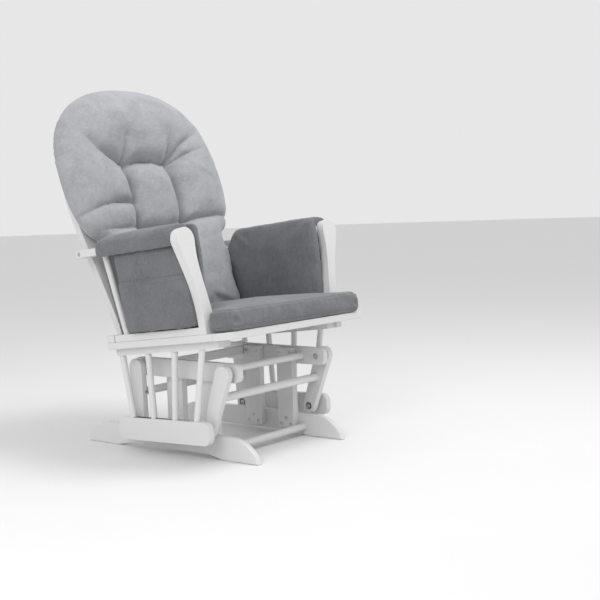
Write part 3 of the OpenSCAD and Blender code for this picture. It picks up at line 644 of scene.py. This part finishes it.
def make_button(name, plane, at):
    """A domed, cloth-covered button."""
    rows = [(0, 4.6), (4, 4.3), (7.5, 3.2), (9.6, 1.4), (10, 0), (8.5, -1.5), (0, -2.5)]
    points, faces, n = [], [], 28
    for r, h in rows:
        for j in range(n):
            a = 2 * math.pi * j / n
            points.append((at[0] + r * MM * math.cos(a), at[1] + r * MM * math.sin(a), at[2] + h * MM))
    for k in range(len(rows) - 1):
        for j in range(n):
            faces.append([k * n + j, k * n + (j + 1) % n, (k + 1) * n + (j + 1) % n, (k + 1) * n + j])
    obj = make_mesh(name, plane.world(points), faces)
    applied(obj, "SUBSURF", levels=1)
    finish_pad(obj, back_suede_lighter_and_lit, [])


# Seat cushion ------------------------------------------------------------------

def seat_cushion():
    points = node_points("seat_cushion")
    plane = Plane(X, seat_rear, seat_up)
    local = plane.local(points)
    plane.origin = plane.world([[0, local[:, 1].min(), local[:, 2].min()]])[0]
    local = plane.local(points)
    depth = local[:, 1].max()
    ear_x = local[:, 0].max()
    rear_x = local[local[:, 1] > depth * 0.9][:, 0].max()
    ear_s = local[np.abs(local[:, 0] - ear_x) < 1e-4][:, 1].max()
    corners = [(ear_x, 0), (ear_x, ear_s), (rear_x, ear_s), (rear_x, depth)]
    outline = np.array([(-x, s) for x, s in corners[::-1]] + corners)[::-1]
    outline = rounded(outline * (0.99, 1) + (0, 1.5 * MM), 22 * MM)
    edge_t = 56 * MM

    def top(flat, d):
        rise = np.clip(flat[:, 1] / depth, 0, 1)
        crown = (9 + 9 * np.sqrt(rise)) * MM
        side = np.clip(1 - (np.abs(flat[:, 0]) / (rear_x + 12 * MM)) ** 4, 0, 1)
        fullness = (1 - np.exp(-d / (55 * MM))) * (0.55 + 0.45 * side)
        return edge_t - 9 * MM + 10 * MM * quarter(d, 20 * MM) + crown * fullness

    def bottom(flat, d):
        return 9 * MM * (1 - quarter(d, 11 * MM))
    obj = pillow("seat_cushion_soft", plane, outline, (0, ear_s - 30 * MM), top, bottom, 50)
    applied(obj, "REMESH", mode="VOXEL", voxel_size=5 * MM)
    soften(obj, 2)
    p = plane.local(coords(obj))
    d, _ = distance(p[:, :2], outline)
    wall = d < 8 * MM
    seam_grip = wall & (np.abs(p[:, 2] - edge_t + 4 * MM) < 5 * MM)
    held = np.where(p[:, 2] < 3 * MM, 1.0, np.where(seam_grip, 0.75, 0.0))
    inflate(obj, held, 10 * MM, 3.5)
    soften(obj, 1)
    applied(obj, "SUBSURF", levels=1)
    p = plane.local(coords(obj))
    n = normals(obj) @ plane.axes.T
    d, along = distance(p[:, :2], outline)
    out = np.linalg.norm(n[:, :2], axis=1)
    seams = np.exp(-((p[:, 2] - edge_t + 3 * MM) / (1.7 * MM)) ** 2) * (d < 16 * MM)
    seams += np.exp(-((p[:, 2] - 9 * MM) / (1.7 * MM)) ** 2) * (d < 14 * MM) * 0.8
    for x in (-ear_x + 9 * MM, ear_x - 9 * MM):
        corner = np.linalg.norm(p[:, :2] - (x, 7 * MM), axis=1)
        line = np.abs((p[:, 0] - x) * 0.7071 * np.sign(x) + (p[:, 1] - 7 * MM) * 0.7071)
        seams += 0.9 * np.exp(-(line / (1.6 * MM)) ** 2) * (corner < 22 * MM) * (out > 0.4)
        pinch = np.linalg.norm((p - (x * 0.94, 0, 26 * MM)) * (1, 0.4, 1), axis=1)
        seams += 2.2 * np.exp(-(pinch / (7 * MM)) ** 2) - 0.9 * np.exp(-((pinch - 14 * MM) / (5 * MM)) ** 2)
    puckers = np.sin(along * 420) * np.exp(-((p[:, 2] - edge_t + 11 * MM) / (9 * MM)) ** 2) * (d < 12 * MM)
    world = plane.world(p)
    slack = ripple(world * (1, 1, 1), 13, 21) * 1.6 + ripple(world * (1, 2, 3), 38, 5) * 0.55
    h = -2.0 * seams + 0.35 * puckers + slack * (p[:, 2] > 5 * MM)
    set_coords(obj, plane.world(p + n * (h * MM)[:, None]))
    finish_pad(obj, seat_suede_darker_and_shaded, ["seat_cushion"])


# Arms --------------------------------------------------------------------------

def loft(name, sections):
    """A mesh through rings of points, capped at its ends."""
    n = len(sections[0])
    points = np.concatenate(sections)
    faces = []
    for k in range(len(sections) - 1):
        for j in range(n):
            a, b = k * n + j, k * n + (j + 1) % n
            faces.append([a, b, b + n, a + n])
    faces.append(list(range(n))[::-1])
    faces.append([(len(sections) - 1) * n + j for j in range(n)])
    return make_mesh(name, points, faces)


def arm_pad(side, label):
    node = label + "_arm_pad"
    plane = Plane(X * side, seat_rear, seat_up)
    local = plane.local(node_points(node))
    board = plane.local(node_points(label + "_arm_board"))
    x0, x1 = local[:, 0].min(), local[:, 0].max()
    t0, t1 = local[:, 2].min(), local[:, 2].max()
    s1 = local[:, 1].max()
    low_front = local[local[:, 2] < t0 + 1e-4][:, 1].min()
    high_front = local[local[:, 2] > t1 - 1e-4][:, 1].min()
    bx0, bx1 = board[:, 0].min() - 0.8 * MM, board[:, 0].max() + 0.8 * MM
    bt1 = board[:, 2].max() + 0.8 * MM

    def outer(shrink):
        """The pad's outer section, from its inner foot over the top to its outer foot."""
        pts = []
        for k in range(31):
            a = math.pi * (1 - k / 30)
            c, s = math.cos(a), math.sin(a)
            power = 0.32 if c < 0 else 0.72
            x = (x0 + x1) / 2 + (x1 - x0) / 2 * math.copysign(abs(c) ** power, c)
            t = t0 + 14 * MM + (t1 - t0 - 14 * MM) * abs(s) ** (0.42 if c < 0 else 0.75)
            pts.append((x, t))
        pts = [(pts[0][0], t0 + 3 * MM)] + pts + [(pts[-1][0], t0 + 3 * MM)]
        tight = [(min(max(x, bx0 - 2.5 * MM), bx1 + 2.5 * MM), min(t, bt1 + 2.5 * MM)) for x, t in pts]
        return [((1 - shrink) * a[0] + shrink * b[0], (1 - shrink) * a[1] + shrink * b[1])
                for a, b in zip(pts, tight)]
    sections = []
    length = s1 - low_front
    steps = np.concatenate((np.linspace(0, 0.86, 40), np.linspace(0.87, 1, 18)))
    for u in steps:
        tail = max(0, (u - 0.86) / 0.14)
        front = max(0, 1 - u / 0.035)
        shrink = 1 - math.sqrt(max(0, 1 - tail ** 2)) + 0.12 * front ** 2
        ring = outer(min(1, shrink))
        ring += [(bx1 + 1.6 * MM, t0 + 0.5 * MM), (bx1, t0 + 1 * MM), (bx1, bt1), (bx0, bt1),
                 (bx0, t0 + 1 * MM), (bx0 - 1.6 * MM, t0 + 0.5 * MM)]
        pts = []
        for x, t in ring:
            lean = (high_front - low_front) * (t - t0) / (t1 - t0)
            pts.append((x, low_front + lean * (1 - u) + u * length, t))
        sections.append(plane.world(pts))
    obj = loft(label + "_arm_pad_soft", sections)
    applied(obj, "REMESH", mode="VOXEL", voxel_size=4 * MM)
    soften(obj, 2)
    p = plane.local(coords(obj))
    inside = (p[:, 0] > bx0 - 3 * MM) & (p[:, 0] < bx1 + 3 * MM) & (p[:, 2] < bt1 + 3 * MM)
    ends = (p[:, 1] < low_front + 9 * MM) | (p[:, 1] > s1 - 6 * MM) | (p[:, 0] < x0 + 3 * MM)
    held = np.where(inside | ends | (p[:, 2] < t0 + 4 * MM), 1.0, 0.0)
    inflate(obj, held, 4 * MM, 2.0)
    soften(obj, 1)
    applied(obj, "SUBSURF", levels=1)
    p = plane.local(coords(obj))
    n = normals(obj) @ plane.axes.T
    outside = np.clip((p[:, 2] - t0) / (6 * MM), 0, 1) * ~(
        (p[:, 0] > bx0 - 1 * MM) & (p[:, 0] < bx1 + 1 * MM) & (p[:, 2] < bt1 + 1 * MM))
    gather = np.sin(p[:, 2] * 900 + p[:, 0] * 500) * np.exp(-((p[:, 1] - low_front) / (16 * MM)) ** 2)
    world = plane.world(p)
    slack = ripple(world, 15, 31 + side) * 1.7 + ripple(world * (1, 1, 2), 45, 7 + side) * 0.5
    hem = np.exp(-((p[:, 2] - t0 - 7 * MM) / (1.5 * MM)) ** 2)
    fold = np.exp(-((p[:, 1] - low_front - 0.42 * length - 0.5 * (p[:, 2] - t0)) / (5 * MM)) ** 2)
    h = (slack + 0.8 * gather - 1.3 * hem - 1.2 * fold) * outside
    set_coords(obj, plane.world(p + n * (h * MM)[:, None]))
    finish_pad(obj, seat_suede_darker_and_shaded, [node])


def flat_at(height):
    """A pillow face that lies flat at one height."""
    return lambda flat, d: np.full(len(flat), float(height))


def side_panel(side, node, name, rim_out, radius, crown, detail, voxel=5, cap=5,
               reach=(2, 0), tuck=0):
    """A padded panel beside an arm, rolled from a rim on its flat face.

    Millimetres: radius of its roll, crown of its middle, voxel of its remesh, cap of its swelling,
    reach past its CAD outline at front and rear, and tuck of its front edge behind the post.
    """
    out = flat_normal(node, side, (side, 0, 0))
    up = out.cross(seat_rear).normalized() * side
    plane = Plane(seat_rear, up, out)
    local = plane.local(node_points(node, side))
    plane.origin = plane.world([[0, 0, local[:, 2].min()]])[0]
    local = plane.local(node_points(node, side))
    thick = local[:, 2].max()
    outline = rounded(outline_of(local[:, :2]), 14 * MM)
    front, rear = outline[:, 0].min(), outline[:, 0].max()
    along = (outline[:, 0] - front) / (rear - front)
    rise = (outline[:, 1] - outline[:, 1].min()) / np.ptp(outline[:, 1])
    lap = reach[0] * np.clip(1.6 * rise - 0.1, 0.25, 1)
    outline[:, 0] += (lap * (along - 1) + reach[1] * along) * MM
    centre = outline.mean(0)

    def swell(flat, d):
        return quarter(d, radius * MM) * (thick + crown * MM * (1 - np.exp(-d / (50 * MM))))
    if rim_out:
        faces = flat_at(thick), lambda flat, d: thick - swell(flat, d)
    else:
        faces = swell, flat_at(0)
    obj = pillow(name, plane, outline, centre, *faces, 36)
    applied(obj, "REMESH", mode="VOXEL", voxel_size=voxel * MM)
    soften(obj, 2)
    p = plane.local(coords(obj))
    d, _ = distance(p[:, :2], outline)
    flat_side = p[:, 2] > thick - 2 * MM if rim_out else p[:, 2] < 2 * MM
    inflate(obj, np.where(flat_side | (d < 5 * MM), 1.0, 0.0), cap * MM, 2.0)
    soften(obj, 1)
    applied(obj, "SUBSURF", levels=1)
    p = plane.local(coords(obj))
    n = normals(obj) @ plane.axes.T
    facing = np.clip(-n[:, 2] if rim_out else n[:, 2], 0, 1)
    d, _ = distance(p[:, :2], outline)
    fore = outline[along < 0.5]
    fore = fore[np.argsort(fore[:, 1])]
    behind = np.maximum(p[:, 0] - np.interp(p[:, 1], fore[:, 1], fore[:, 0]), 0)
    p[:, 2] -= tuck * MM * np.exp(-behind / (20 * MM))
    h = detail(p, d, plane.world(p)) * facing
    set_coords(obj, plane.world(p + n * (h * MM)[:, None]))
    finish_pad(obj, seat_suede_darker_and_shaded, [])
    return obj


def arm_panels(side, label):
    def inner_detail(p, d, world):
        slack = ripple(world, 12, 40 + side) * 2.2 + ripple(world * (1, 2, 1), 36, 8 + side) * 0.7
        return slack * np.clip(d / 0.02, 0, 1)

    def outer_detail(p, d, world):
        stitch = np.exp(-((d - 6 * MM) / (1.3 * MM)) ** 2)
        slack = ripple(world * (1, 1, 1.6), 11, 60 + side) * 2.4 + ripple(world, 40, 2 + side) * 0.5
        return slack - 1.2 * stitch

    def pocket_detail(p, d, world):
        hem = np.exp(-((p[:, 1] - p[:, 1].max() + 15 * MM) / (1.4 * MM)) ** 2)
        stitch = np.exp(-((d - 5 * MM) / (1.3 * MM)) ** 2)
        slack = ripple(world * (1, 1.4, 1), 13, 80 + side) * 1.8 + ripple(world, 44, 6 + side) * 0.4
        return slack - 1.2 * hem - 0.9 * stitch
    inner = side_panel(side, "arm_inner_panels", label + "_arm_inner_panel_soft",
                       True, 15, 8, inner_detail, reach=(17, 16))
    outer = side_panel(side, "arm_outer_panels", label + "_arm_outer_panel_soft",
                       False, 5, 3, outer_detail, 4, 3, reach=(3, 0), tuck=14)
    pocket = side_panel(side, "arm_pockets", label + "_arm_pocket_soft",
                        False, 4, 1.5, pocket_detail, 3, 2, reach=(3, 0), tuck=14)
    return inner, outer, pocket


back_cushion()
seat_cushion()
panels = []
for side, label in ((1, "left"), (-1, "right")):
    arm_pad(side, label)
    panels.append(arm_panels(side, label))
for side_pieces in panels:
    for piece, node in zip(side_pieces, ("arm_inner_panels", "arm_outer_panels", "arm_pockets")):
        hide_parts(node)


# Studio ------------------------------------------------------------------------

def area_light(name, at, size, power, target=(0, 0, 0.45)):
    data = bpy.data.lights.new(name, "AREA")
    data.shape = "RECTANGLE"
    data.size, data.size_y = size
    data.energy = power
    light = bpy.data.objects.new(name, data)
    scene.collection.objects.link(light)
    light.location = at
    light.rotation_mode = "QUATERNION"
    light.rotation_quaternion = (Vector(target) - Vector(at)).to_track_quat("-Z", "Y")


def make_studio():
    bm = bmesh.new()
    bmesh.ops.create_circle(bm, cap_ends=True, radius=30, segments=96)
    mesh = bpy.data.meshes.new("floor")
    bm.to_mesh(mesh)
    bm.free()
    floor = link_piece("floor", mesh)
    s = Shader("pale_floor")
    place = s.add("TexCoord")
    s.color(s.mix(s.grey(s.noise(place, 3), 0, 1), (0.77, 0.77, 0.77), (0.79, 0.79, 0.79)))
    s.set(Roughness=0.8, Specular_IOR_Level=0.1)
    set_material(floor, s.material)
    world = bpy.data.worlds.new("studio")
    scene.world = world
    world.use_nodes = True
    background = world.node_tree.nodes["Background"]
    background.inputs["Color"].default_value = (1, 1, 1, 1)
    background.inputs["Strength"].default_value = 0.8
    area_light("key", (-2.8, -1.1, 1.8), (1.5, 1.5), 27)
    area_light("top", (0.5, -1.0, 3.1), (1.2, 1.2), 40)
    scene.view_settings.view_transform = "Standard"


make_studio()
